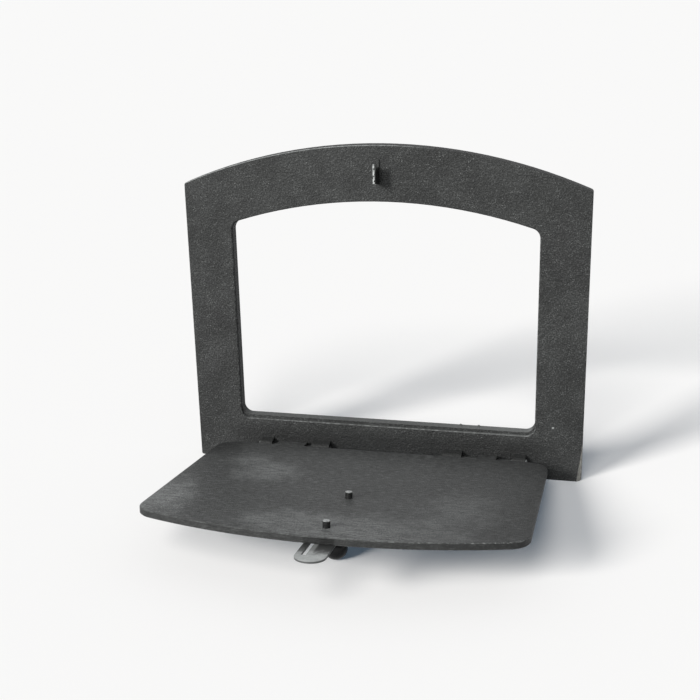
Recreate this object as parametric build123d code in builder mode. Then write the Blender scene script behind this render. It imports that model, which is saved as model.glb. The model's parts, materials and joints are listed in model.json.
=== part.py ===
from build123d import *
from math import asin, atan2, cos, degrees, hypot, sin
import os

# Arched cast iron oven door, drawn as it stands open on a table.
# X runs across the frame, Y from front to back, Z up. The origin is the middle of the frame's foot.

# Frame casting
frame_half_width = 245.0
frame_side_height = 358.5
frame_crown_height = 408.0
frame_depth = 14.5
frame_foot_r = 2.5
frame_shoulder_r = 4.0
plate_t = 10.0
rim_wall = 11.0
collar_wall = 11.0
casting_edge = 0.8

# Opening of the frame, at its front face, and the rebate that runs round it
side_band_w = 57.5
opening_foot_z = 55.7
opening_shoulder_z = 311.0
opening_crown_z = 341.3
opening_corner_r = 12.0
opening_taper = 2.6
rebate_depth = 3.5
rebate_side = 0.5
rebate_foot = 3.6

# Filed corner of the foot
facet_height = 46.6
facet_width = 5.8
facet_depth = 5.0

# Hinge line: height above the table and distance in front of the face
pin_z = 23.0
pin_out = 7.0
pin_r = 3.0
pin_head_r = 4.6
pin_head_t = 2.0
pin_seat_gap = 0.02
pin_run_gap = 0.08
boss_r = 7.0
boss_foot_low = 10.0
boss_foot_high = 8.0
boss_root_t = 1.0
left_hinge_inset = 126.5
left_boss_gap = 51.9
left_knuckle_shift = 1.0
left_knuckle_w = 36.5
right_hinge_inset = 114.5
right_boss_gap = 62.8
right_knuckle_shift = 0.8
right_knuckle_w = 23.0
outer_boss_w = 15.5
inner_boss_w = 23.0

# Door casting: s runs from its hinged edge to its arch, n from its inner face outwards
door_side_overlap = 19.5
door_side_s = 282.2
door_crown_s = 321.7
door_t = 7.7
door_foot_r = 26.0
door_shoulder_r = 28.0
door_edge = 0.9
door_face_gap = 1.0
door_edge_above_pin = 15.0
knuckle_r = 6.3

# Guide bolts through the door
bolt_x = 4.4
lower_bolt_s = 193.0
upper_bolt_s = 291.5
bolt_r = 4.0
bolt_seat_gap = 0.02
bolt_end_out = 7.5
bolt_end_edge = 0.5
bolt_head_r = 8.0
bolt_head_t = 4.0
bolt_head_edge = 1.2
bolt_head_gap = 0.3

# Latch plate on the door's outer face
latch_x = 4.0
latch_half_width = 16.0
latch_t = 2.5
latch_gap = 0.3
latch_foot_s = 172.0
latch_tip_s = 368.0
latch_corner_r = 4.0
latch_edge = 0.4
latch_travel = 6.0
guide_gap = 0.3

# Keeper blade on the frame's crown
keeper_x = -3.3
keeper_t = 3.6
keeper_out = 20.0
keeper_root_below_crown = 45.5
keeper_front_rise = 3.5
keeper_height = 26.5
keeper_tip_w = 4.0
keeper_tip_r = 1.2
keeper_notch_depth = 6.0
keeper_post_w = 2.0
keeper_post_over = 2.0
tenon_rise = 5.5
tenon_height = 12.0
tenon_gap = 0.05
rivet_over = 1.5
rivet_t = 1.2

# Slot of the latch plate that passes over the keeper
slot_side_gap = 0.7
slot_tip_gap = 0.5
slot_root_gap = 15.0

# Knob and its stem
knob_x = -3.8
knob_s = 217.8
knob_height = 48.5
knob_r = 13.0
knob_flat_depth = 3.0
knob_bore_depth = 8.5
stem_r = 4.0
stem_end_r = 3.0
stem_end_gap = 0.05
stem_end_length = 7.5
stem_collar_r = 7.0
stem_collar_t = 3.0

# The opened door leans on its knob, which touches the table: this gives its slope
face_y = -frame_depth / 2
pin_y = face_y - pin_out
knob_reach = door_edge_above_pin + knob_s
knob_drop = knob_height - (pin_out - door_face_gap)
slope = atan2(knob_drop, knob_reach) + asin((knob_r - pin_z) / hypot(knob_reach, knob_drop))

opening_half_width = frame_half_width - side_band_w
door_half_width = opening_half_width + door_side_overlap
left_hinge_x = left_hinge_inset - frame_half_width
right_hinge_x = frame_half_width - right_hinge_inset
keeper_root_z = frame_crown_height - keeper_root_below_crown
keeper_tip_z = keeper_root_z + keeper_height
keeper_notch_z = keeper_tip_z - keeper_notch_depth
tenon_z = keeper_root_z + tenon_rise + tenon_height / 2

along = Vector(0, -cos(slope), sin(slope))
outward = Vector(0, -sin(slope), -cos(slope))
pin_centre = Vector(0, pin_y, pin_z)
door_origin = pin_centre + along * door_edge_above_pin - outward * (pin_out - door_face_gap)

face = Plane(origin=(0, face_y, 0), x_dir=(1, 0, 0), z_dir=(0, -1, 0))
inner_face = Plane(origin=door_origin, x_dir=(1, 0, 0), z_dir=outward)

print("door slope above level, degrees:", round(degrees(slope), 4))
print("door origin:", [round(v, 4) for v in tuple(door_origin)])


def arched_panel(half_width, foot, shoulder, crown, foot_r, shoulder_r):
    """Panel with a level foot, upright sides and an arched top."""
    with BuildSketch(Plane.XY) as panel:
        with BuildLine():
            Polyline(
                (-half_width, shoulder),
                (-half_width, foot),
                (half_width, foot),
                (half_width, shoulder),
            )
            ThreePointArc((half_width, shoulder), (0, crown), (-half_width, shoulder))
        make_face()
        fillet(panel.vertices().group_by(Axis.Y)[0], radius=foot_r)
        fillet(panel.vertices().group_by(Axis.Y)[-1], radius=shoulder_r)
    return panel.sketch


def opening_at(inset, foot_rise):
    """Outline of the frame's opening, narrowed all round by inset, with its foot raised."""
    return arched_panel(
        opening_half_width - inset,
        opening_foot_z + inset + foot_rise,
        opening_shoulder_z - inset,
        opening_crown_z - inset,
        opening_corner_r,
        opening_corner_r,
    )


def door_section(x):
    """Plane across the door at x, with s to its right and n up."""
    return Plane(origin=door_origin + Vector(x, 0, 0), x_dir=along, z_dir=(1, 0, 0))


# Frame: face plate, rim turned back, stepped collar round the opening, four hinge bosses
frame_outline = arched_panel(
    frame_half_width, 0, frame_side_height, frame_crown_height, frame_foot_r, frame_shoulder_r
)
with BuildPart() as frame:
    with BuildSketch(face):
        add(frame_outline)
    extrude(amount=-plate_t)
    with BuildSketch(face.offset(-plate_t)):
        add(frame_outline)
        offset(frame_outline, amount=-rim_wall, kind=Kind.INTERSECTION, mode=Mode.SUBTRACT)
        offset(opening_at(0, 0), amount=collar_wall, mode=Mode.ADD)
    extrude(amount=plate_t - frame_depth)
    # A shallow rebate runs round the opening's front, deepest along the sill
    with BuildSketch(face):
        add(opening_at(0, 0))
    extrude(amount=-rebate_depth, mode=Mode.SUBTRACT)
    with BuildSketch(face.offset(-rebate_depth)):
        add(opening_at(rebate_side, rebate_foot - rebate_side))
    extrude(amount=rebate_depth - frame_depth, taper=opening_taper, mode=Mode.SUBTRACT)
    # The front edges are dressed, all but the foot's, which stays square
    front_edges = frame.faces().sort_by(Axis.Y)[0].edges()
    chamfer(front_edges.sort_by(Axis.Z)[1:], length=casting_edge)
    # Hinge bosses, each with a foot that spreads on the face
    for hinge_x, boss_gap, outer_side in (
        (left_hinge_x, left_boss_gap, -1),
        (right_hinge_x, right_boss_gap, 1),
    ):
        for side in (-1, 1):
            boss_w = outer_boss_w if side == outer_side else inner_boss_w
            inner_x = hinge_x + side * boss_gap / 2
            with BuildSketch(Plane.YZ.offset(inner_x)):
                with Locations((pin_y, pin_z)):
                    Circle(boss_r)
                with Locations((face_y + boss_root_t / 2, pin_z + (boss_foot_high - boss_foot_low) / 2)):
                    Rectangle(boss_root_t, boss_foot_high + boss_foot_low)
                make_hull()
            extrude(amount=side * boss_w)
        with BuildSketch(Plane.YZ.offset(hinge_x)):
            with Locations((pin_y, pin_z)):
                Circle(pin_r + pin_seat_gap)
        extrude(amount=boss_gap / 2 + inner_boss_w, both=True, mode=Mode.SUBTRACT)
    # Slot for the keeper's tenon
    with BuildSketch(face):
        with Locations((keeper_x, tenon_z)):
            Rectangle(keeper_t + 2 * tenon_gap, tenon_height + 2 * tenon_gap)
    extrude(amount=-plate_t, mode=Mode.SUBTRACT)
    # Filed corner at the right of the foot
    facet_top = Vector(frame_half_width, face_y, facet_height)
    facet_face = Vector(frame_half_width - facet_width, face_y, 0)
    facet_side = Vector(frame_half_width, face_y + facet_depth, 0)
    facet_out = (facet_face - facet_top).cross(facet_side - facet_top)
    with BuildSketch(Plane(origin=facet_top, z_dir=facet_out)):
        Rectangle(4 * facet_height, 4 * facet_height)
    extrude(amount=facet_height, mode=Mode.SUBTRACT)

# Keeper: an upright blade with a notch behind its tip, riveted through the plate by its tenon
with BuildPart() as keeper:
    with BuildSketch(Plane.YZ.offset(keeper_x)) as blade:
        with BuildLine():
            Polyline(
                (face_y, keeper_root_z),
                (face_y - keeper_out, keeper_root_z + keeper_front_rise),
                (face_y - keeper_out, keeper_tip_z),
                (face_y - keeper_out + keeper_tip_w, keeper_tip_z),
                (face_y - keeper_out + keeper_tip_w, keeper_notch_z),
                (face_y - keeper_post_w, keeper_notch_z),
                (face_y - keeper_post_w, keeper_tip_z + keeper_post_over),
                (face_y, keeper_tip_z + keeper_post_over),
                close=True,
            )
        make_face()
        fillet(blade.vertices().group_by(Axis.X)[0].sort_by(Axis.Y)[-1], radius=keeper_tip_r)
    extrude(amount=keeper_t / 2, both=True)
    with BuildSketch(face):
        with Locations((keeper_x, tenon_z)):
            Rectangle(keeper_t, tenon_height)
    extrude(amount=-plate_t)
    with BuildSketch(face.offset(-plate_t)):
        with Locations((keeper_x, tenon_z)):
            RectangleRounded(keeper_t + 2 * rivet_over, tenon_height + 2 * rivet_over, rivet_over)
    extrude(amount=-rivet_t)

# Hinge pins, headed at their outer ends
pins = {}
for pin_name, hinge_x, boss_gap, outer_side in (
    ("left_hinge_pin", left_hinge_x, left_boss_gap, -1),
    ("right_hinge_pin", right_hinge_x, right_boss_gap, 1),
):
    outer_x = hinge_x + outer_side * (boss_gap / 2 + outer_boss_w)
    pin_l = outer_boss_w + boss_gap + inner_boss_w + pin_head_t
    with BuildPart() as pin:
        with BuildSketch(Plane.YZ.offset(outer_x)):
            with Locations((pin_y, pin_z)):
                Circle(pin_r)
        extrude(amount=-outer_side * pin_l)
        with BuildSketch(Plane.YZ.offset(outer_x)):
            with Locations((pin_y, pin_z)):
                Circle(pin_head_r)
        extrude(amount=outer_side * pin_head_t)
        chamfer(pin.faces().sort_by(Axis.X)[0 if outer_side < 0 else -1].edges(), length=pin_head_t / 3)
    pins[pin_name] = pin.part

# Door: arched plate with a knuckle at each hinge
with BuildPart() as door:
    with BuildSketch(inner_face):
        add(
            arched_panel(
                door_half_width, 0, door_side_s, door_crown_s, door_foot_r, door_shoulder_r
            )
        )
    extrude(amount=door_t)
    chamfer(door.faces().sort_by(SortBy.AREA)[-2:].edges(), length=door_edge)
    for knuckle_x, knuckle_w in (
        (left_hinge_x + left_knuckle_shift, left_knuckle_w),
        (right_hinge_x + right_knuckle_shift, right_knuckle_w),
    ):
        with BuildSketch(door_section(knuckle_x)):
            with Locations((-door_edge_above_pin, pin_out - door_face_gap)):
                Circle(knuckle_r)
            with Locations((door_edge, door_t / 2)):
                Rectangle(2 * door_edge, door_t)
            make_hull()
        extrude(amount=knuckle_w / 2, both=True)
        with BuildSketch(door_section(knuckle_x)):
            with Locations((-door_edge_above_pin, pin_out - door_face_gap)):
                Circle(pin_r + pin_run_gap)
        extrude(amount=knuckle_w, both=True, mode=Mode.SUBTRACT)
    with BuildSketch(inner_face):
        with Locations((bolt_x, lower_bolt_s), (bolt_x, upper_bolt_s)):
            Circle(bolt_r + bolt_seat_gap)
    extrude(amount=door_t, mode=Mode.SUBTRACT)

# Guide bolts: screwed through the door, their ends standing out of its inner face
latch_n = door_t + latch_gap
head_n = latch_n + latch_t + bolt_head_gap
bolts = {}
for place, bolt_s in (("lower", lower_bolt_s), ("upper", upper_bolt_s)):
    with BuildPart() as bolt:
        with BuildSketch(inner_face.offset(-bolt_end_out)):
            with Locations((bolt_x, bolt_s)):
                Circle(bolt_r)
        extrude(amount=bolt_end_out + head_n)
        chamfer(bolt.faces().sort_by(Axis.Z)[-1].edges(), length=bolt_end_edge)
        with BuildSketch(inner_face.offset(head_n)):
            with Locations((bolt_x, bolt_s)):
                Circle(bolt_head_r)
        extrude(amount=bolt_head_t)
        chamfer(bolt.faces().sort_by(Axis.Z)[0].edges(), length=bolt_head_edge)
    bolts[place] = bolt.part

# Latch plate: slides on the guide bolts, and its end slot drops over the keeper
closed_rise = pin_z + door_edge_above_pin
slot_top_s = keeper_tip_z + slot_tip_gap - closed_rise
slot_foot_s = keeper_root_z - closed_rise - slot_root_gap
slot_w = keeper_t + 2 * slot_side_gap
with BuildPart() as latch:
    with BuildSketch(inner_face.offset(latch_n)) as tongue:
        with BuildLine():
            Polyline(
                (latch_x - latch_half_width, latch_tip_s - latch_half_width),
                (latch_x - latch_half_width, latch_foot_s),
                (latch_x + latch_half_width, latch_foot_s),
                (latch_x + latch_half_width, latch_tip_s - latch_half_width),
            )
            ThreePointArc(
                (latch_x + latch_half_width, latch_tip_s - latch_half_width),
                (latch_x, latch_tip_s),
                (latch_x - latch_half_width, latch_tip_s - latch_half_width),
            )
        make_face()
        fillet(tongue.vertices().group_by(Axis.Y)[0], radius=latch_corner_r)
    extrude(amount=latch_t)
    chamfer(latch.faces().sort_by(SortBy.AREA)[-2:].edges(), length=latch_edge)
    with BuildSketch(inner_face.offset(latch_n)):
        with Locations((keeper_x, (slot_foot_s + slot_top_s) / 2)):
            Rectangle(slot_w, slot_top_s - slot_foot_s)
        with Locations(
            (bolt_x, lower_bolt_s + latch_travel / 2),
            (bolt_x, upper_bolt_s + latch_travel / 2),
        ):
            SlotCenterToCenter(latch_travel, 2 * (bolt_r + guide_gap), rotation=90)
        with Locations((knob_x, knob_s)):
            Circle(stem_end_r + stem_end_gap)
    extrude(amount=latch_t, mode=Mode.SUBTRACT)

# Knob stem: riveted in the latch plate, with a collar against it and a thinner end in the ball
collar_n = latch_n + latch_t
shoulder_n = knob_height - knob_r + knob_flat_depth
with BuildPart() as stem:
    with BuildSketch(inner_face.offset(latch_n)):
        with Locations((knob_x, knob_s)):
            Circle(stem_end_r)
    extrude(amount=shoulder_n + stem_end_length - latch_n)
    with BuildSketch(inner_face.offset(collar_n)):
        with Locations((knob_x, knob_s)):
            Circle(stem_r)
    extrude(amount=shoulder_n - collar_n)
    with BuildSketch(inner_face.offset(collar_n)):
        with Locations((knob_x, knob_s)):
            Circle(stem_collar_r)
    extrude(amount=stem_collar_t)

# Knob: a ball with a flat and a bore where the stem enters
knob_axis = Plane(
    origin=door_origin + Vector(knob_x, 0, 0) + along * knob_s,
    x_dir=(1, 0, 0),
    z_dir=along * -1,
)
with BuildPart() as knob:
    with BuildSketch(knob_axis):
        with Locations((0, knob_height)):
            Circle(knob_r)
        with Locations((-knob_r, knob_height)):
            Rectangle(2 * knob_r, 4 * knob_r, mode=Mode.SUBTRACT)
        with Locations((knob_r / 2, shoulder_n - knob_r / 2)):
            Rectangle(knob_r, knob_r, mode=Mode.SUBTRACT)
        with Locations(((stem_end_r + stem_end_gap) / 2, shoulder_n + knob_bore_depth / 2)):
            Rectangle(stem_end_r + stem_end_gap, knob_bore_depth, mode=Mode.SUBTRACT)
    revolve(axis=Axis(knob_axis.origin, outward))

frame.part.label = "frame"
export_step(frame.part, "parts/frame.step")
keeper.part.label = "keeper"
export_step(keeper.part, "parts/keeper.step")
for pin_name, pin_part in pins.items():
    pin_part.label = pin_name
    export_step(pin_part, f"parts/{pin_name}.step")
door.part.label = "door"
export_step(door.part, "parts/door.step")
for place in ("lower", "upper"):
    bolts[place].label = f"{place}_guide_bolt"
    export_step(bolts[place], f"parts/{place}_guide_bolt.step")
latch.part.label = "latch_plate"
export_step(latch.part, "parts/latch_plate.step")
stem.part.label = "knob_stem"
export_step(stem.part, "parts/knob_stem.step")
knob.part.label = "knob"
export_step(knob.part, "parts/knob.step")
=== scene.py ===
import json
import math

import bpy
import bmesh
from mathutils import Matrix, Vector


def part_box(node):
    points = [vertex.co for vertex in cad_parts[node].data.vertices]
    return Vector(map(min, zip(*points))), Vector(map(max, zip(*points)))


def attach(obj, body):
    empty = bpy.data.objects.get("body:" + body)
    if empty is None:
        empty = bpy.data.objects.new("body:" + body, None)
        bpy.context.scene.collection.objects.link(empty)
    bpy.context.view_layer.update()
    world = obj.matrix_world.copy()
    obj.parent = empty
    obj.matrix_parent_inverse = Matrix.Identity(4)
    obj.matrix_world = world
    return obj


bl_info = {
    "name": "Cast Iron Oven Door",
    "version": (1, 0, 0),
    "blender": (4, 5, 0),
    "location": "View3D > Sidebar > Oven Door",
    "description": "Finishes an arched cast iron oven door and stands it in a plain pale studio",
    "category": "Object",
}

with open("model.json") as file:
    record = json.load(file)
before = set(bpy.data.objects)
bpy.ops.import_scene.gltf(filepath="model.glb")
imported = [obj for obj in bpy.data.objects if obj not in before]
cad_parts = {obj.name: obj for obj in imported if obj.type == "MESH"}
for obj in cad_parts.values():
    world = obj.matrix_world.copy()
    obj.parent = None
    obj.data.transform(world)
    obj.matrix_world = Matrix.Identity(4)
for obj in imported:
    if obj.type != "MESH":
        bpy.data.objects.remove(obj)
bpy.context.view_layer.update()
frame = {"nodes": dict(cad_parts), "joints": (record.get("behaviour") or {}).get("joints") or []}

X_AXIS, Z_AXIS = Vector((1, 0, 0)), Vector((0, 0, 1))
FACE_OUT = Vector((0, -1, 0))
FRAME_BACK_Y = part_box("frame")[1].y

# How the opened door lies: s runs along it from hinge to arch, OUTWARD is its outer face's normal
HINGE = next(j for j in frame["joints"] if j["name"] == "door_hinge")
SLIDE = next(j for j in frame["joints"] if j["name"] == "latch_slide")
ALONG = Vector(SLIDE["axis"]).normalized()
OUTWARD = X_AXIS.cross(ALONG)
EDGE_ABOVE_PIN = 0.015
HINGED_EDGE = Vector(HINGE["pos_m"]).dot(ALONG) + EDGE_ABOVE_PIN

# Filed corner of the frame's foot: its height, and what it takes off the side and off the face
FILED_HEIGHT, FILED_WIDTH, FILED_DEPTH = 0.0466, 0.0058, 0.0050
FILED_ON_FACE = Vector((-FILED_WIDTH, 0, -FILED_HEIGHT))
FILED_ON_SIDE = Vector((0, FILED_DEPTH, -FILED_HEIGHT))
FILED_OUT = FILED_ON_FACE.cross(FILED_ON_SIDE).normalized()

# Beads of flash: name, middle, half sizes
BEAD_Y = FRAME_BACK_Y - 0.0016
FLASH_BEADS = (
    ("sill_flash_1", (0.0950, BEAD_Y, 0.0600), (0.0016, 0.0014, 0.0013)),
    ("sill_flash_2", (0.1175, BEAD_Y, 0.0600), (0.0015, 0.0014, 0.0014)),
)
BEAD_SWELL = 0.12
BEAD_WAVES = (7, 5, 3)
BEAD_SUBDIVISIONS = 3

# Zones of the frame: where each fades in or out, as heights unless the name says otherwise
CROWN = (0.34, 0.36)
CROWN_WEAR_AND_HIGHLIGHT_RIGHT_END = (-0.03, 0.09)
EDGE_WEAR_START, EDGE_WEAR_END = (0.045, 0.050), (0.30, 0.34)
SILL_START, SILL_END = (0.050, 0.053), (0.062, 0.066)
SILL_RIGHT_HALF = (0.0, 0.19)
BOSS_TOP, BOSS_FRONT = (0.033, 0.036), (0.0080, 0.0085)
LOW_SHADE_TOP, LOW_SHADE_SIDES = (0.036, 0.056), (0.17, 0.22)
FILED_TOP, FILED_RIGHT = (0.046, 0.050), (0.230, 0.236)

# One bright nick on the frame's right band: middle (x, z), reach (x, z)
NICK = ((0.2091, 0.0689), (0.0020, 0.0015))

# Zones of the door, along s or across it
RIGHT_PAINTED_SHADE = (0.02, 0.20)
CHIPS_START, CHIPS_RIGHT = (0.24, 0.29), (0.06, 0.12)
OVER_LATCH_START = (0.30, 0.31)
OVER_LATCH_LEFT, OVER_LATCH_RIGHT, OVER_LATCH_DEEP = (-0.014, -0.011), (0.019, 0.021), (0.004, 0.008)

# Lighter speckled places of the door, partly rubbed wear and partly a painted sheen; darker places, the
# first a painted shade at the hinged left corner; and flecked places: middle (x, s), reach (x, s), strength
SCUFFS_AND_SHEEN = (
    ((-0.112, 0.118), (0.055, 0.055), 1.0),
    ((-0.145, 0.080), (0.035, 0.040), 0.7),
    ((-0.195, 0.235), (0.045, 0.095), 1.3),
    ((0.035, 0.300), (0.170, 0.075), 1.0),
    ((-0.050, 0.275), (0.060, 0.045), 0.7),
    ((0.130, 0.215), (0.060, 0.095), 0.65),
)
DARKER_PLACES = (
    ((-0.205, 0.030), (0.050, 0.075), 0.75),
    ((0.020, 0.165), (0.050, 0.035), 0.25),
)
FLECKS = (
    ((-0.192, 0.262), (0.050, 0.075), 0.85),
)

# Zones of keeper, pins and latch plate. The keeper's are measured from its own box, the end of the door's
# painted shadow on the plate along s, and the rest across the object
KEEPER_FRONT_SKIN = (0.0005, 0.0002)
KEEPER_LEFT_HALF = (0.0032, 0.0040)
KEEPER_UPPER_SHARES = (0.60, 0.72)
PIN_OUTER_END = (0.160, 0.163)
DOOR_SHADOW_END = (0.334, 0.354)
DOOR_SHADOW_RAGGEDNESS = 0.024
DOOR_SHADOW_GAP_LEFT, DOOR_SHADOW_GAP_RIGHT = (-0.001, 0.0), (0.003, 0.005)

# Each finish: metallic share, and how much it reflects as a Specular IOR Level (0.5 is the usual one)
SHEEN = {
    "frame": (0.20, 0.28),
    "flash": (0.20, 0.50),
    "door": (0.30, 0.30),
    "keeper": (0.40, 0.20),
    "pins": (0.30, 0.50),
    "bolts": (0.50, 0.25),
    "latch": (0.35, 0.50),
    "knob": (0.00, 0.18),
}

# Relief of the small pieces: depth in metres, strength
KEEPER_RELIEF = (0.0004, 0.8)
STEEL_RELIEF = (0.0003, 0.5)
KNOB_RELIEF = (0.0002, 0.3)

METAL_TINT = (0.965, 1.0, 0.985)

# Lights: directions from the object to them, and their colours
WINDOW_LIGHT, WINDOW_TINT = (-0.562, -0.720, 0.407), (1.0, 0.995, 0.98)
FRONT_LIGHT, FRONT_TINT = (-0.103, -0.736, 0.669), (1.0, 0.995, 0.985)
LIGHT_DISTANCE = 3.0

# Camera, fitted to the photograph
CAMERA_PLACE = (0.282213, -1.349996, 0.614557)
CAMERA_YAW, CAMERA_PITCH, CAMERA_ROLL = 0.236645, -0.3212, 0.023336
CAMERA_SENSOR = 36.0

# Sockets of the Mix node that carry colours
MIX_FIRST, MIX_SECOND, MIX_RESULT = 6, 7, 2

# What a noise's shift moves it by along x, y and z
SHIFT_SHARES = (1.0, 0.7, 1.3)


# Shader expressions

class Sock:
    """A value in a node tree that can be used in plain arithmetic."""

    def __init__(self, finish, socket):
        self.finish = finish
        self.socket = socket

    def _math(self, operation, *values):
        return self.finish.node("ShaderNodeMath", {"operation": operation}, dict(enumerate(values)))

    def __add__(self, other):
        return self._math("ADD", self, other)

    __radd__ = __add__

    def __sub__(self, other):
        return self._math("SUBTRACT", self, other)

    def __rsub__(self, other):
        return self._math("SUBTRACT", other, self)

    def __mul__(self, other):
        return self._math("MULTIPLY", self, other)

    __rmul__ = __mul__

    def __truediv__(self, other):
        return self._math("DIVIDE", self, other)

    def __rtruediv__(self, other):
        return self._math("DIVIDE", other, self)

    def __pow__(self, other):
        return self._math("POWER", self, other)

    def __abs__(self):
        return self._math("ABSOLUTE", self)

    def greatest(self, other):
        return self._math("MAXIMUM", self, other)

    def step(self, low, high):
        """0 at low, 1 at high and smooth between them, whichever of the two is the greater."""
        return self.finish.node(
            "ShaderNodeMapRange",
            {"interpolation_type": "SMOOTHSTEP"},
            {"Value": self, "From Min": low, "From Max": high, "To Min": 0.0, "To Max": 1.0},
        )

    def below(self, low, high):
        """1 below low, 0 above high and smooth between them."""
        return 1.0 - self.step(low, high)

    def dot(self, direction):
        """This vector's part along a fixed direction."""
        return self.finish.node(
            "ShaderNodeVectorMath", {"operation": "DOT_PRODUCT"}, {0: self, 1: tuple(direction)}, "Value"
        )


class Finish:
    """One material or world, built from expressions on Sock values."""

    def __init__(self, owner):
        self.owner = owner
        owner.use_nodes = True
        self.tree = owner.node_tree
        self.tree.nodes.clear()
        self.place = self.node("ShaderNodeTexCoord", {}, {}, "Object")
        self.normal = self.node("ShaderNodeTexCoord", {}, {}, "Normal")

    def node(self, kind, settings, sockets, output=0):
        """Adds a node: its settings first, then values or links for its sockets."""
        made = self.tree.nodes.new(kind)
        for key, value in settings.items():
            setattr(made, key, value)
        for key, value in sockets.items():
            target = made.inputs[key]
            if isinstance(value, Sock):
                self.tree.links.new(value.socket, target)
            else:
                target.default_value = value
        return Sock(self, made.outputs[output])

    def mix(self, amount, first, second):
        """Blends two colours."""
        sockets = {"Factor": amount, MIX_FIRST: first, MIX_SECOND: second}
        return self.node("ShaderNodeMix", {"data_type": "RGBA"}, sockets, MIX_RESULT)

    def layered(self, base, layers):
        """Lays greys over a base, each given as where, how strongly and how light."""
        for where, strength, lightness in layers:
            base = self.mix(where * strength, base, grey(lightness))
        return base

    def noise(self, scale, detail=3.0, roughness=0.6, stretch=(1, 1, 1), turn=0.0, shift=0.0):
        """Noise whose scale is in lumps a metre, stretched, moved and turned about X where asked."""
        where = self.node(
            "ShaderNodeMapping",
            {"vector_type": "POINT"},
            {
                "Vector": self.turned(turn) if turn else self.place,
                "Location": tuple(shift * share for share in SHIFT_SHARES),
                "Scale": stretch,
            },
        )
        return self.node(
            "ShaderNodeTexNoise",
            {"noise_dimensions": "3D"},
            {"Vector": where, "Scale": scale, "Detail": detail, "Roughness": roughness},
        )

    def grains(self, scale):
        """Distance from the middle of the nearest grain, with grains a metre as the scale."""
        sockets = {"Vector": self.place, "Scale": scale}
        return self.node("ShaderNodeTexVoronoi", {"voronoi_dimensions": "3D"}, sockets, "Distance")

    def turned(self, angle):
        """The object's coordinates turned about X."""
        sockets = {"Vector": self.place, "Angle": angle}
        return self.node("ShaderNodeVectorRotate", {"rotation_type": "X_AXIS"}, sockets)

    def across(self):
        """Distance to the right of the object's middle."""
        return self.place.dot(X_AXIS)

    def height(self):
        """Height above the table."""
        return self.place.dot(Z_AXIS)

    def forward(self):
        """Distance in front of the frame's middle plane."""
        return self.place.dot(FACE_OUT)

    def reach(self):
        """Distance from the opened door's hinged edge, s."""
        return self.place.dot(ALONG) - HINGED_EDGE

    def facing(self, direction, low=0.85, high=0.95):
        """1 on faces that look in this direction."""
        return self.normal.dot(direction).step(low, high)

    def spot(self, u, v, centre, radii, ragged, softness=0.6):
        """1 inside a ragged ellipse in two coordinates, 0 outside it."""
        away = (((u - centre[0]) / radii[0]) ** 2 + ((v - centre[1]) / radii[1]) ** 2) ** 0.5
        return (away + ragged).below(1.0 - softness, 1.0)

    def seen_directly(self):
        """1 where the camera, a mirror or clear glass shows the surface, 0 where it only throws light."""
        path = "ShaderNodeLightPath"
        direct = self.node(path, {}, {}, "Is Camera Ray").greatest(self.node(path, {}, {}, "Is Glossy Ray"))
        return direct.greatest(self.node(path, {}, {}, "Is Transmission Ray"))

    def bump(self, height, distance, strength=1.0):
        """The surface's normal with this relief."""
        sockets = {"Height": height, "Distance": distance, "Strength": strength}
        return self.node("ShaderNodeBump", {}, sockets)

    def surface(self, colour, roughness, relief, metallic, shine):
        """Closes the material with its one surface shader."""
        sockets = {
            "Base Color": colour,
            "Roughness": roughness,
            "Metallic": metallic,
            "Specular IOR Level": shine,
            "Normal": relief,
        }
        return self.finished(self.node("ShaderNodeBsdfPrincipled", {}, sockets))

    def finished(self, shader):
        """Links the shader to the output and returns the material or world."""
        kind = "World" if isinstance(self.owner, bpy.types.World) else "Material"
        out = self.tree.nodes.new(f"ShaderNodeOutput{kind}")
        self.tree.links.new(shader.socket, out.inputs["Surface"])
        return self.owner


def material(name):
    """A new finish on a new material."""
    return Finish(bpy.data.materials.new(name))


def grey(value, warmth=0.0):
    """The metals' faintly green grey of this lightness, warmer or cooler by a small share."""
    red, green, blue = METAL_TINT
    return (value * (red + warmth), value * green, value * (blue - warmth), 1.0)


def opaque(colour):
    """A setting's colour as a socket takes it."""
    return (*colour, 1.0)


def dress(node, finish):
    """Gives a CAD node its material."""
    mesh = frame["nodes"][node].data
    mesh.materials.clear()
    mesh.materials.append(finish)


# Settings

class IronSettings(bpy.types.PropertyGroup):
    frame_grey: bpy.props.FloatProperty(
        name="Frame grey", description="Lightness of the frame's cast skin", default=0.026, min=0, max=1
    )
    door_grey: bpy.props.FloatProperty(
        name="Door grey", description="Lightness of the door's brushed skin", default=0.045, min=0, max=1
    )
    grain: bpy.props.FloatProperty(
        name="Grain", description="Size of the sand grain left in the skin", default=0.0018, unit="LENGTH"
    )
    grain_depth: bpy.props.FloatProperty(
        name="Grain depth", description="Height of the grain", default=0.0021, unit="LENGTH"
    )
    scuff_grey: bpy.props.FloatProperty(
        name="Scuff grey", description="Lightness of the rubbed places", default=0.20, min=0, max=1
    )
    bare_grey: bpy.props.FloatProperty(
        name="Bare iron", description="Lightness of chipped and filed iron", default=0.42, min=0, max=1
    )


class SteelSettings(bpy.types.PropertyGroup):
    latch_grey: bpy.props.FloatProperty(
        name="Latch grey", description="Lightness of the latch plate", default=0.43, min=0, max=1
    )
    # Also the lightness of the keeper's painted highlight
    bright_grey: bpy.props.FloatProperty(
        name="Bare steel", description="Lightness of cut and filed steel", default=0.55, min=0, max=1
    )
    # Also sets the painted shade of the keeper, the hinge pins and the latch plate's edges
    dark_grey: bpy.props.FloatProperty(
        name="Dark steel", description="Lightness of scaled steel", default=0.05, min=0, max=1
    )
    knob_colour: bpy.props.FloatVectorProperty(
        name="Knob", description="Colour of the ball knob", subtype="COLOR", default=(0.006, 0.006, 0.0065)
    )
    knob_dust: bpy.props.FloatProperty(
        name="Knob dust", description="Lightness of the knob's dull patches", default=0.016, min=0, max=1
    )


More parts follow.
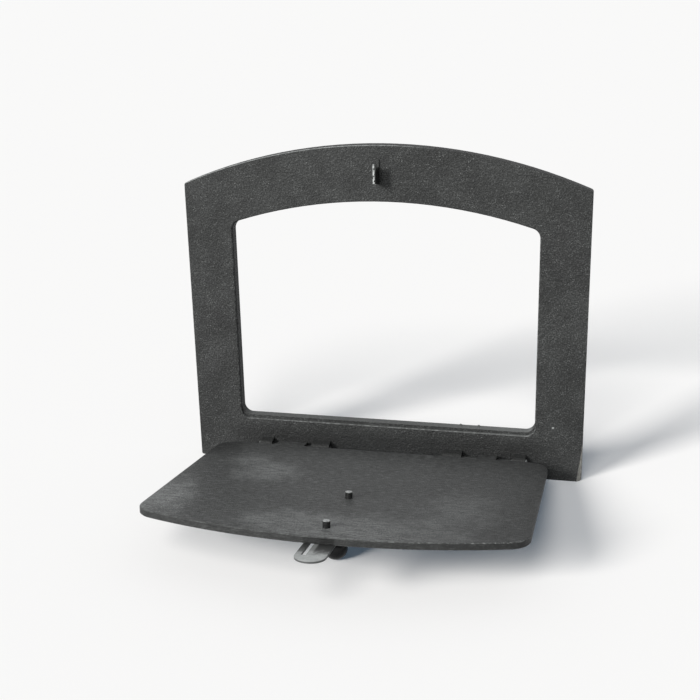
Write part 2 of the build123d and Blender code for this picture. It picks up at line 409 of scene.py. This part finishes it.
class StudioSettings(bpy.types.PropertyGroup):
    window_light: bpy.props.FloatProperty(
        name="Window light", description="Strength of the low light at the left front", default=4.1, min=0
    )
    window_softness: bpy.props.FloatProperty(
        name="Window width", description="Angle that the window light fills", default=0.33, unit="ROTATION"
    )
    front_light: bpy.props.FloatProperty(
        name="Front light", description="Strength of the higher, wider light in front", default=1.3, min=0
    )
    front_softness: bpy.props.FloatProperty(
        name="Front width", description="Angle that the front light fills", default=0.42, unit="ROTATION"
    )
    room: bpy.props.FloatProperty(
        name="Room light", description="Strength of the even light of the room", default=0.22, min=0
    )
    room_colour: bpy.props.FloatVectorProperty(
        name="Room colour", description="Colour of the room's light", subtype="COLOR",
        default=(0.90, 0.95, 1.0),
    )
    sky_colour: bpy.props.FloatVectorProperty(
        name="Backdrop", description="Colour seen behind the floor", subtype="COLOR",
        default=(0.93, 0.93, 0.94),
    )
    paper: bpy.props.FloatVectorProperty(
        name="Paper", description="Colour of the floor", subtype="COLOR", default=(0.985, 0.955, 0.925)
    )
    glow: bpy.props.FloatVectorProperty(
        name="Glow", description="Colour that the floor shows by itself", subtype="COLOR",
        default=(0.45, 0.70, 1.0),
    )
    glow_share: bpy.props.FloatProperty(
        name="Glow share", description="How much of the floor's brightness is its own",
        default=0.08, min=0, max=1,
    )
    thrown_grey: bpy.props.FloatProperty(
        name="Thrown light", description="Lightness of the floor for the light that it throws back",
        default=0.4, min=0, max=1,
    )
    floor_size: bpy.props.FloatProperty(
        name="Floor", description="Width of the floor", default=60.0, unit="LENGTH"
    )
    lens: bpy.props.FloatProperty(
        name="Lens", description="Focal length of the camera", default=60.563, unit="CAMERA"
    )


# Operators, one for each piece or group of like pieces

class OVENDOOR_OT_frame(bpy.types.Operator):
    """Gives the frame its sand-grained black iron, with worn edges, a painted highlight on the crown's
    arris, painted shade on the crown's top and low on the face, painted light on the boss tops, a rubbed
    sill and a filed corner
    """

    bl_idname = "ovendoor.frame"
    bl_label = "Frame"

    def execute(self, context):
        iron = context.scene.oven_iron
        skin = iron.frame_grey
        look = material("frame_iron")
        per_grain = 1.0 / iron.grain
        pebble = look.noise(per_grain)
        lumps = look.noise(per_grain / 2.5, detail=2.0, roughness=0.5, shift=3.0)
        blotch = look.noise(26.0, shift=9.0)
        chips = look.noise(160.0, roughness=0.65, shift=12.0)
        file_marks = look.noise(900.0, stretch=(1, 1, 0.2), shift=1.0)
        sparkle = look.grains(per_grain * 0.9).step(0.36, 0.16)
        sparkle = sparkle * look.noise(110.0, shift=5.0).step(0.48, 0.62)

        x, z = look.across(), look.height()
        # Worn arrises, chipped along the sides, with a painted highlight along the crown's front arris that
        # fades out towards the right: the dressed edges lie halfway between the face and what it meets
        front = look.normal.dot(FACE_OUT)
        arris = front.step(0.62, 0.68) * front.below(0.74, 0.82)
        # Painted shade: the crown's upward faces are darkened
        crown_top_painted_shade = look.facing(Z_AXIS, 0.8, 0.9) * z.step(*CROWN)
        crown_wear_and_highlight = z.step(*CROWN) * x.below(*CROWN_WEAR_AND_HIGHLIGHT_RIGHT_END) * (chips.step(0.2, 0.6) * 0.7 + 0.15)
        edge_wear = z.step(*EDGE_WEAR_START) * z.below(*EDGE_WEAR_END) * chips.step(0.46, 0.58) * 0.4
        worn = arris * (crown_wear_and_highlight + edge_wear)
        # The sill is rubbed, most of all at the right, and the tops of the bosses are painted lighter, a
        # painted light
        upward = look.facing(Z_AXIS, 0.55, 0.8)
        sill = upward * z.step(*SILL_START) * z.below(*SILL_END) * (0.35 + x.step(*SILL_RIGHT_HALF) * 0.35)
        boss_tops_painted_light = upward * z.below(*BOSS_TOP) * look.forward().step(*BOSS_FRONT)
        # Painted shade low on the face under the sill, near the middle, where the door's hinged edge stands
        low_face_painted_shade = z.below(*LOW_SHADE_TOP) * abs(x).below(*LOW_SHADE_SIDES)
        filed = look.facing(FILED_OUT, 0.96, 0.985) * z.below(*FILED_TOP) * x.step(*FILED_RIGHT)
        nick = look.spot(x, z, *NICK, (chips - 0.5) * 0.6)

        base = look.mix(blotch.step(0.3, 0.7), grey(skin * 0.72), grey(skin * 1.3))
        base = look.layered(base, (
            (pebble.step(0.56, 0.34), 0.6, skin * 0.45),
            (pebble.step(0.50, 0.66) * (blotch * 1.1 + 0.15), 1.0, skin * 2.8),
            (sparkle, 0.45, iron.scuff_grey),
            (crown_top_painted_shade, 0.7, skin * 0.3),
            (worn, 1.0, iron.bare_grey * 0.6),
            (sill, 1.0, iron.scuff_grey * 0.8),
            (boss_tops_painted_light, 0.8, skin * 1.5),
            (low_face_painted_shade, 0.65, skin * 0.3),
        ))
        between_marks, on_marks = grey(iron.bare_grey * 0.45, 0.08), grey(iron.bare_grey, 0.05)
        bare = look.mix(file_marks.step(0.3, 0.7), between_marks, on_marks)
        base = look.mix(filed * 0.8, base, bare)
        base = look.mix(nick, base, grey(iron.bare_grey * 0.7))

        rough = 0.55 + pebble * 0.14 - sparkle * 0.14 - worn * 0.15
        relief = look.bump(pebble * 0.5 + lumps * 0.5, iron.grain_depth)
        dress("frame", look.surface(base, rough, relief, *SHEEN["frame"]))
        return {"FINISHED"}


class OVENDOOR_OT_flash(bpy.types.Operator):
    """Adds the beads of casting flash left on the sill's back edge"""

    bl_idname = "ovendoor.flash"
    bl_label = "Casting flash"

    def execute(self, context):
        iron = context.scene.oven_iron
        look = material("flash_iron")
        grit = look.noise(2.0 / iron.grain)
        base = look.mix(grit.step(0.4, 0.65), grey(iron.frame_grey * 1.3), grey(iron.scuff_grey * 0.9))
        relief = look.bump(grit, iron.grain_depth * 0.5)
        finish = look.surface(base, 0.5 + grit * 0.15, relief, *SHEEN["flash"])
        wave_x, wave_y, wave_z = BEAD_WAVES
        for name, middle, (half_x, half_y, half_z) in FLASH_BEADS:
            build = bmesh.new()
            bmesh.ops.create_icosphere(build, subdivisions=BEAD_SUBDIVISIONS, radius=1.0)
            for vertex in build.verts:
                x, y, z = vertex.co
                swell = 1.0 + BEAD_SWELL * math.sin(wave_x * x + wave_z * z) * math.cos(wave_y * y)
                vertex.co = Vector((x * half_x, y * half_y, z * half_z)) * swell
            mesh = bpy.data.meshes.new(name)
            build.to_mesh(mesh)
            build.free()
            for polygon in mesh.polygons:
                polygon.use_smooth = True
            mesh.materials.append(finish)
            bead = bpy.data.objects.new(name, mesh)
            bead.location = middle
            context.scene.collection.objects.link(bead)
            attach(bead, "frame")
        return {"FINISHED"}


class OVENDOOR_OT_door(bpy.types.Operator):
    """Gives the door its brushed cast skin, with scuffs and a painted sheen, chips and a worn arch, and
    painted shade at its right, on its sides and at its hinged left corner
    """

    bl_idname = "ovendoor.door"
    bl_label = "Door"

    def execute(self, context):
        iron = context.scene.oven_iron
        skin = iron.door_grey
        look = material("door_iron")
        slope = math.atan2(ALONG.z, -ALONG.y)
        streak = look.noise(420.0, detail=4.0, roughness=0.62, stretch=(0.14, 1, 1), turn=slope)
        scratch = look.noise(1500.0, detail=2.0, roughness=0.5, stretch=(0.05, 1, 1), turn=slope, shift=7.0)
        fine = look.noise(700.0, detail=2.0, shift=2.0)
        grit = look.noise(300.0, roughness=0.65, stretch=(0.4, 1, 1), turn=slope, shift=21.0)
        cloud = look.noise(13.0, roughness=0.55, shift=6.0)
        fleck = look.noise(520.0, detail=2.0, shift=27.0).step(0.54, 0.64)
        ragged = (look.noise(34.0, detail=5.0, roughness=0.7, shift=4.0) - 0.5) * 1.5

        x, s = look.across(), look.reach()
        inner = look.facing(-OUTWARD)
        speckle = fine.step(0.42, 0.62) * 0.6 + streak.step(0.4, 0.6) * 0.5
        layers = [
            (streak.step(0.45, 0.7), 0.45, skin * 2.0),
            (fine.step(0.54, 0.36), 0.4, skin * 0.5),
            (fine.step(0.5, 0.64), 0.45, skin * 2.4),
            (grit.step(0.50, 0.36), 0.6, skin * 0.4),
            (grit.step(0.54, 0.66), 0.6, skin * 2.8),
        ]
        # Lighter speckled places, partly rubbed wear and partly a painted sheen
        for centre, radii, strength in SCUFFS_AND_SHEEN:
            rubbed_and_sheen = look.spot(x, s, centre, radii, ragged, 0.85) * inner * speckle
            layers.append((rubbed_and_sheen, strength, iron.scuff_grey))
        # Darker places: the first is painted shade at the hinged left corner, the second is only darker
        for centre, radii, strength in DARKER_PLACES:
            layers.append((look.spot(x, s, centre, radii, ragged * 0.6, 0.9), strength, skin * 0.3))
        layers.append((scratch.step(0.60, 0.68) * inner, 0.35, iron.scuff_grey))
        for centre, radii, strength in FLECKS:
            flecked = look.spot(x, s, centre, radii, ragged * 0.7, 0.8) * inner * fleck
            layers.append((flecked, strength, iron.scuff_grey * 1.3))

        # Painted shade: the sides are darker than the faces, most of all over the latch plate
        painted_shade_sides = abs(look.normal.dot(OUTWARD)).below(0.3, 0.6)
        over_latch_painted_shade = painted_shade_sides * s.step(*OVER_LATCH_START) * x.step(*OVER_LATCH_LEFT) * x.below(*OVER_LATCH_RIGHT)
        over_latch_painted_shade = over_latch_painted_shade * (0.45 + x.step(*OVER_LATCH_DEEP) * 0.45)
        # The arch's upper arris is chipped bright, most of all at the right
        up = look.normal.dot(-OUTWARD)
        arris = up.step(0.6, 0.67) * up.below(0.75, 0.85)
        chips = look.noise(300.0, roughness=0.75, shift=11.0).step(0.5, 0.64)
        stretches = look.noise(22.0, detail=2.0, roughness=0.5, shift=15.0).step(0.35, 0.62)
        worn = arris * chips * s.step(*CHIPS_START) * (stretches * 0.28 + x.step(*CHIPS_RIGHT) * 0.45)
        # Painted shade darkens the door towards its right
        layers += [
            (x.step(*RIGHT_PAINTED_SHADE), 0.32, skin * 0.3),
            (painted_shade_sides, 0.7, skin * 0.3),
            (over_latch_painted_shade, 1.0, skin * 0.12),
            (worn, 1.0, iron.bare_grey * 0.55),
        ]
        base = look.mix(cloud.step(0.32, 0.7), grey(skin * 0.88), grey(skin * 1.12))
        base = look.layered(base, layers)

        rough = 0.44 + streak * 0.16 + fine * 0.06
        relief = look.bump(streak * 0.45 + fine * 0.55, iron.grain_depth * 0.7)
        dress("door", look.surface(base, rough, relief, *SHEEN["door"]))
        return {"FINISHED"}


class OVENDOOR_OT_keeper(bpy.types.Operator):
    """Gives the keeper steel painted near black as shade, with painted light in its upper part and a painted
    highlight on its front edge
    """

    bl_idname = "ovendoor.keeper"
    bl_label = "Keeper"

    def execute(self, context):
        steel = context.scene.oven_steel
        look = material("keeper_steel")
        wear = look.noise(700.0)
        patches = look.noise(260.0, roughness=0.7, shift=3.0)
        low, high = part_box("keeper")
        # Painted highlight: dotted bright patches on the left half of the keeper's front edge
        filed = (look.forward() + low.y).step(*(-depth for depth in KEEPER_FRONT_SKIN))
        filed = filed * (look.across() - low.x).below(*KEEPER_LEFT_HALF)
        painted_light_upper = look.height().step(*(low.z + (high.z - low.z) * share for share in KEEPER_UPPER_SHARES))
        # Painted shade: the keeper's steel is near black, with a painted light in its upper part
        base = look.mix(wear, grey(steel.dark_grey * 0.12), grey(steel.dark_grey * 0.35))
        base = look.layered(base, (
            (painted_light_upper, 1.0, steel.dark_grey * 0.8),
            (filed * patches.step(0.40, 0.54), 1.0, steel.bright_grey * 0.75),
        ))
        relief = look.bump(wear, *KEEPER_RELIEF)
        dress("keeper", look.surface(base, 0.42 + wear * 0.2, relief, *SHEEN["keeper"]))
        return {"FINISHED"}


class OVENDOOR_OT_pins(bpy.types.Operator):
    """Gives hinge pins steel painted near black as shade and guide bolts their dull steel, both with bright
    ends
    """

    bl_idname = "ovendoor.pins"
    bl_label = "Pins and bolts"

    def execute(self, context):
        steel = context.scene.oven_steel
        look = material("pin_steel")
        wear = look.noise(500.0)
        end = abs(look.across()).step(*PIN_OUTER_END) * wear.step(0.45, 0.6)
        # Painted shade: the pins' steel is near black, as between the bosses they lie in shade
        base = look.mix(wear.step(0.3, 0.7), grey(steel.dark_grey * 0.25), grey(steel.dark_grey * 0.7))
        base = look.mix(end, base, grey(steel.bright_grey))
        pin = look.surface(base, 0.45 + wear * 0.2, look.bump(wear, *STEEL_RELIEF), *SHEEN["pins"])
        for node in ("left_hinge_pin", "right_hinge_pin"):
            dress(node, pin)

        look = material("bolt_steel")
        wear = look.noise(650.0)
        end = look.facing(-OUTWARD, 0.5, 0.8) * (wear.step(0.38, 0.58) * 0.65 + 0.35)
        base = look.mix(wear.step(0.3, 0.7), grey(steel.dark_grey * 0.15), grey(steel.dark_grey * 0.55))
        base = look.mix(end, base, grey(steel.bright_grey * 0.85))
        bolt = look.surface(base, 0.34 + wear * 0.2, look.bump(wear, *STEEL_RELIEF), *SHEEN["bolts"])
        for node in ("lower_guide_bolt", "upper_guide_bolt"):
            dress(node, bolt)
        return {"FINISHED"}


class OVENDOOR_OT_latch(bpy.types.Operator):
    """Gives latch plate and knob stem their grey rolled steel, with the door's painted shadow near the door
    and painted shade on edges and slot walls
    """

    bl_idname = "ovendoor.latch"
    bl_label = "Latch plate"

    def execute(self, context):
        steel = context.scene.oven_steel
        look = material("latch_steel")
        grain = look.noise(800.0, stretch=(1, 0.2, 1))
        cloud = look.noise(90.0, shift=2.0)
        ragged = (look.noise(170.0, roughness=0.7, shift=8.0) - 0.5) * DOOR_SHADOW_RAGGEDNESS
        x, s = look.across(), look.reach() + ragged
        # A painted shadow of the door reaches out from under it with a ragged edge, and is fainter in a
        # strip beside the slot
        fainter = x.step(*DOOR_SHADOW_GAP_LEFT) * x.below(*DOOR_SHADOW_GAP_RIGHT) * 0.5
        door_shadow_paint = s.below(*DOOR_SHADOW_END) * (1.0 - fainter) * (0.85 + cloud * 0.15)
        flat = abs(look.normal.dot(OUTWARD)).step(0.45, 0.9)
        base = look.mix(cloud.step(0.3, 0.7), grey(steel.latch_grey * 0.85), grey(steel.latch_grey * 1.1))
        base = look.mix(grain.step(0.45, 0.7) * 0.3, base, grey(steel.latch_grey * 0.6))
        # Painted shade: the plate's edges and the slot's walls are dark
        base = look.mix(flat, grey(steel.dark_grey * 1.4), base)
        base = look.mix(door_shadow_paint, base, grey(steel.dark_grey * 0.2))
        plate = look.surface(base, 0.42 + grain * 0.15, look.bump(grain, *STEEL_RELIEF), *SHEEN["latch"])
        for node in ("latch_plate", "knob_stem"):
            dress(node, plate)
        return {"FINISHED"}


class OVENDOOR_OT_knob(bpy.types.Operator):
    """Gives the ball knob its smooth black"""

    bl_idname = "ovendoor.knob"
    bl_label = "Knob"

    def execute(self, context):
        steel = context.scene.oven_steel
        look = material("knob_black")
        wear = look.noise(260.0, detail=4.0)
        base = look.mix(wear.step(0.5, 0.75) * 0.5, opaque(steel.knob_colour), grey(steel.knob_dust))
        relief = look.bump(wear, *KNOB_RELIEF)
        dress("knob", look.surface(base, 0.16 + wear * 0.14, relief, *SHEEN["knob"]))
        return {"FINISHED"}


class OVENDOOR_OT_studio(bpy.types.Operator):
    """Adds floor, backdrop, soft lights and the camera"""

    bl_idname = "ovendoor.studio"
    bl_label = "Studio"

    def execute(self, context):
        scene = context.scene
        self.lay_floor(scene, scene.oven_studio)
        self.light_room(scene, scene.oven_studio)
        self.hang_lights(scene, scene.oven_studio)
        self.place_camera(scene, scene.oven_studio)
        scene.view_settings.view_transform = "Standard"
        return {"FINISHED"}

    def lay_floor(self, scene, studio):
        """A pale paper that looks lighter than the light it throws back at the iron."""
        build = bmesh.new()
        bmesh.ops.create_grid(build, x_segments=1, y_segments=1, size=studio.floor_size / 2)
        mesh = bpy.data.meshes.new("studio_floor")
        build.to_mesh(mesh)
        build.free()
        floor = bpy.data.objects.new("studio_floor", mesh)
        scene.collection.objects.link(floor)
        look = material("studio_paper")
        lit = look.node("ShaderNodeBsdfDiffuse", {}, {"Color": opaque(studio.paper)})
        glow = look.node("ShaderNodeEmission", {}, {"Color": opaque(studio.glow), "Strength": 1.0})
        shown = look.node("ShaderNodeMixShader", {}, {0: studio.glow_share, 1: lit, 2: glow})
        thrown = look.node("ShaderNodeBsdfDiffuse", {}, {"Color": grey(studio.thrown_grey)})
        both = look.node("ShaderNodeMixShader", {}, {0: look.seen_directly(), 1: thrown, 2: shown})
        mesh.materials.append(look.finished(both))

    def light_room(self, scene, studio):
        """An even dim light, with a pale backdrop where it is looked at."""
        room = Finish(bpy.data.worlds.new("studio_room"))
        background = "ShaderNodeBackground"
        air = room.node(background, {}, {"Color": opaque(studio.room_colour), "Strength": studio.room})
        seen = room.node(background, {}, {"Color": opaque(studio.sky_colour), "Strength": 1.0})
        both = room.node("ShaderNodeMixShader", {}, {0: room.seen_directly(), 1: air, 2: seen})
        scene.world = room.finished(both)

    def hang_lights(self, scene, studio):
        """A low window light at the left front and a higher, wider one in front."""
        for name, toward, tint, strength, softness in (
            ("window_light", WINDOW_LIGHT, WINDOW_TINT, studio.window_light, studio.window_softness),
            ("front_light", FRONT_LIGHT, FRONT_TINT, studio.front_light, studio.front_softness),
        ):
            lamp = bpy.data.lights.new(name, "SUN")
            lamp.energy = strength
            lamp.angle = softness
            lamp.color = tint
            light = bpy.data.objects.new(name, lamp)
            light.rotation_euler = Vector(toward).to_track_quat("Z", "Y").to_euler()
            light.location = Vector(toward) * LIGHT_DISTANCE
            scene.collection.objects.link(light)

    def place_camera(self, scene, studio):
        """The photograph's camera."""
        camera = bpy.data.cameras.new("camera")
        camera.sensor_width = CAMERA_SENSOR
        camera.lens = studio.lens
        holder = bpy.data.objects.new("camera", camera)
        turn = (
            Matrix.Rotation(CAMERA_YAW, 4, "Z") @ Matrix.Rotation(CAMERA_PITCH, 4, "X")
            @ Matrix.Rotation(CAMERA_ROLL, 4, "Y") @ Matrix.Rotation(math.pi / 2, 4, "X")
        )
        holder.matrix_world = Matrix.Translation(CAMERA_PLACE) @ turn
        scene.collection.objects.link(holder)
        scene.camera = holder


class OVENDOOR_PT_panel(bpy.types.Panel):
    """Lists the pieces and their settings"""

    bl_idname = "OVENDOOR_PT_panel"
    bl_label = "Oven Door"
    bl_space_type = "VIEW_3D"
    bl_region_type = "UI"
    bl_category = "Oven Door"

    def draw(self, context):
        for settings in (context.scene.oven_iron, context.scene.oven_steel, context.scene.oven_studio):
            for key in settings.bl_rna.properties.keys():
                if key not in ("rna_type", "name"):
                    self.layout.prop(settings, key)
        for piece in PIECES:
            self.layout.operator(piece.bl_idname)


SETTINGS = {"oven_iron": IronSettings, "oven_steel": SteelSettings, "oven_studio": StudioSettings}
PIECES = (
    OVENDOOR_OT_studio,
    OVENDOOR_OT_frame,
    OVENDOOR_OT_flash,
    OVENDOOR_OT_door,
    OVENDOOR_OT_keeper,
    OVENDOOR_OT_pins,
    OVENDOOR_OT_latch,
    OVENDOOR_OT_knob,
)


def register():
    for group in (*SETTINGS.values(), *PIECES, OVENDOOR_PT_panel):
        bpy.utils.register_class(group)
    for name, group in SETTINGS.items():
        setattr(bpy.types.Scene, name, bpy.props.PointerProperty(type=group))


def unregister():
    for name in SETTINGS:
        delattr(bpy.types.Scene, name)
    for group in (OVENDOOR_PT_panel, *reversed(PIECES), *SETTINGS.values()):
        bpy.utils.unregister_class(group)


def main():
    register()
    bpy.ops.ovendoor.studio()
    bpy.ops.ovendoor.frame()
    bpy.ops.ovendoor.flash()
    bpy.ops.ovendoor.door()
    bpy.ops.ovendoor.keeper()
    bpy.ops.ovendoor.pins()
    bpy.ops.ovendoor.latch()
    bpy.ops.ovendoor.knob()


if __name__ == "__main__":
    main()
